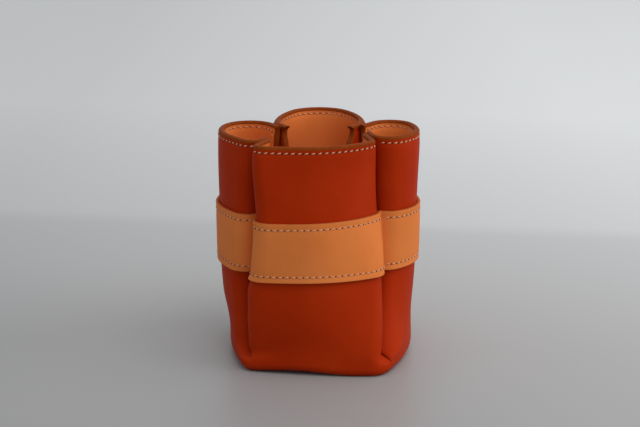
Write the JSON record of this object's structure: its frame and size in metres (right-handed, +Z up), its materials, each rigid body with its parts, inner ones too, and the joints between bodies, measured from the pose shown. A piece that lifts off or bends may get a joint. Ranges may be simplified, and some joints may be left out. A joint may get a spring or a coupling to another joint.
{
  "type": "pencil cup",
  "caption": "Soft leather pencil cup with curled petals that form a clover-shaped mouth, a tan lining and a sewn tan band round the middle; holds pens and pencils upright on a desk.",
  "frame": {"origin": "centre of the base on the surface that the cup stands on", "axes": "+Z up through the mouth, -Y towards the front petal, +X towards the right petal"},
  "size_m": [0.0964, 0.1036, 0.105],
  "materials": {
    "outer_leather": "smooth, semi-matte, vermilion red",
    "lining_leather": "smooth, matte, tan",
    "band_leather": "smooth, matte, tan",
    "thread": "waxed thread, pale peach"
  },
  "bodies": {
    "root": {"outer_leather": "outer_leather", "lining": "lining_leather", "band": "band_leather", "edge_thread_front": "thread", "edge_thread_right": "thread", "edge_thread_back": "thread", "edge_thread_left": "thread", "band_upper_thread_front": "thread", "band_upper_thread_right": "thread", "band_upper_thread_back": "thread", "band_upper_thread_left": "thread", "band_lower_thread_front": "thread", "band_lower_thread_right": "thread", "band_lower_thread_back": "thread", "band_lower_thread_left": "thread"}
  },
  "joints": []
}
